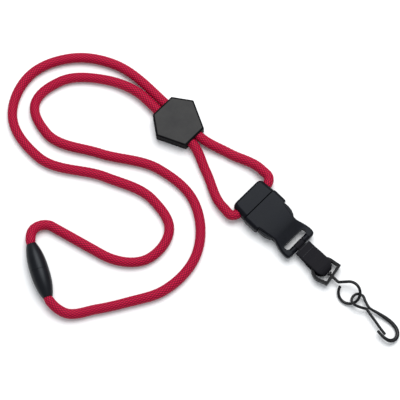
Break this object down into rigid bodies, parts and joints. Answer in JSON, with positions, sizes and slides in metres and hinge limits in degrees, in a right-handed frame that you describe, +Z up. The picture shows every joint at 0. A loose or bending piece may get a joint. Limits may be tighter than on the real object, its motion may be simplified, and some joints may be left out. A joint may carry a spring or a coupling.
{
  "type": "lanyard",
  "caption": "round-cord neck lanyard with a breakaway barrel, a hexagonal slider, a side-release buckle, a webbing tab and a swivelling spring hook",
  "frame": {"origin": "middle of the base of the box round everything but the cord, on the table that the lanyard lies on", "axes": "+X runs along the buckle, strap and hook from the neck loop to the hook's bend, +Y to the side, +Z up from the table"},
  "size_m": [0.2733, 0.1503, 0.0115],
  "materials": {
    "red_cord": "fine round braid",
    "black_plastic": "satin moulded",
    "charcoal_plastic": "fine matte",
    "black_webbing": "ribbed weave",
    "black_thread": "twisted thread",
    "black_metal": "black oxide, satin",
    "clamp_metal": "crimped"
  },
  "bodies": {
    "neck_cord": {"cord_main": "red_cord", "barrel_plug": "black_plastic", "cord_clamp_plug": "clamp_metal"},
    "slider": {"slider_body": "black_plastic", "slider_face_plate": "charcoal_plastic"},
    "barrel_release_half": {"barrel_socket": "black_plastic", "cord_clamp_socket": "clamp_metal", "cord_tail": "red_cord"},
    "plug": {"buckle_plug": "black_plastic"},
    "arm_left": {"buckle_arm_left": "black_plastic"},
    "arm_right": {"buckle_arm_right": "black_plastic"},
    "socket": {"buckle_socket": "black_plastic"},
    "strap": {"strap_loop": "black_webbing", "strap_webbing": "black_webbing", "strap_stitching": "black_thread"},
    "frame": {"swivel_frame": "black_metal"},
    "eye": {"swivel_eye": "black_metal"},
    "hook": {"hook_wire": "black_metal"},
    "gate": {"hook_gate": "black_metal"}
  },
  "joints": [
    {"name": "slider_slide", "type": "slide", "parent": "neck_cord", "child": "slider", "axis": [-1, 0, 0], "range_m": [0, 0.01]},
    {"name": "barrel_release", "type": "slide", "parent": "neck_cord", "child": "barrel_release_half", "axis": [0.8944, -0.4472, 0], "range_m": [0, 0.012], "deforming": ["cord_tail"]},
    {"name": "buckle_swing", "type": "hinge", "parent": "neck_cord", "child": "plug", "pos_m": [-0.02, 0.056, 0.0048], "axis": [0, -1, 0], "range_deg": [-90, 90]},
    {"name": "arm_left_flex", "type": "hinge", "parent": "plug", "child": "arm_left", "pos_m": [-0.0134, 0.0647, 0.0048], "axis": [0, 0, -1], "range_deg": [0, 7], "stiffness_Nm_per_rad": 0.02},
    {"name": "arm_right_flex", "type": "hinge", "parent": "plug", "child": "arm_right", "pos_m": [-0.0134, 0.0473, 0.0048], "axis": [0, 0, 1], "range_deg": [0, 7], "stiffness_Nm_per_rad": 0.02},
    {"name": "buckle_release", "type": "slide", "parent": "plug", "child": "socket", "axis": [1, 0, 0], "range_m": [0, 0.026], "deforming": ["buckle_arm_left", "buckle_arm_right"]},
    {"name": "strap_swing", "type": "hinge", "parent": "socket", "child": "strap", "pos_m": [0.0191, 0.056, 0.0048], "axis": [0, -1, 0], "range_deg": [-90, 90]},
    {"name": "frame_tilt", "type": "hinge", "parent": "strap", "child": "frame", "pos_m": [0.03507, 0.05405, 0.0038], "axis": [0.1736, -0.9848, 0], "range_deg": [-10, 10]},
    {"name": "eye_spin", "type": "hinge", "parent": "frame", "child": "eye", "pos_m": [0.046, 0.056, 0.0038], "axis": [1, 0, 0], "continuous": true},
    {"name": "hook_swing", "type": "hinge", "parent": "eye", "child": "hook", "pos_m": [0.0667, 0.056, 0.0038], "axis": [0, -0.9272, -0.3746], "range_deg": [-20, 50]},
    {"name": "gate_open", "type": "hinge", "parent": "hook", "child": "gate", "pos_m": [0.07419, 0.0562, 0.00355], "axis": [0.059, 0.2588, 0.9641], "range_deg": [0, 12], "stiffness_Nm_per_rad": 0.02}
  ],
  "couplings": [
    {"joint": "arm_right_flex", "follows": "arm_left_flex", "ratio": 1}
  ]
}
